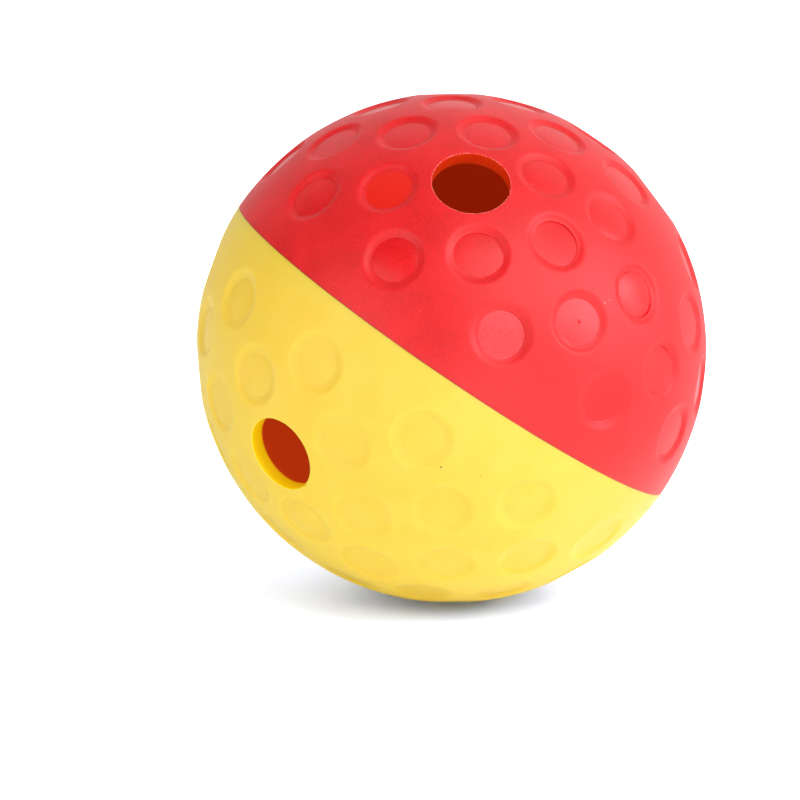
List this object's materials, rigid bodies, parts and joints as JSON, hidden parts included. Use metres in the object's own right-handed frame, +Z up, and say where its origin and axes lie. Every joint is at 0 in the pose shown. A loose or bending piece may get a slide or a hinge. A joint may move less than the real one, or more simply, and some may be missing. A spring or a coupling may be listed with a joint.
{
  "type": "treat dispensing ball",
  "caption": "Hollow dimpled toy ball for pets: soft moulded halves bonded at the equator, each with a round hole that lets dry treats drop out as the ball rolls.",
  "frame": {"origin": "centre of the ball", "axes": "+Z up from the floor under the ball as it lies at rest; the axis through the poles of the halves leans 34.3 degrees from +Z towards +X; -Y is the side that shows both treat holes"},
  "size_m": [0.127, 0.127, 0.127],
  "materials": {
    "red_soft_plastic": "matte",
    "yellow_soft_plastic": "matte",
    "cured_adhesive": "satin"
  },
  "bodies": {
    "root": {"red_half": "red_soft_plastic", "yellow_half": "yellow_soft_plastic", "bond_ring": "cured_adhesive"}
  },
  "joints": []
}
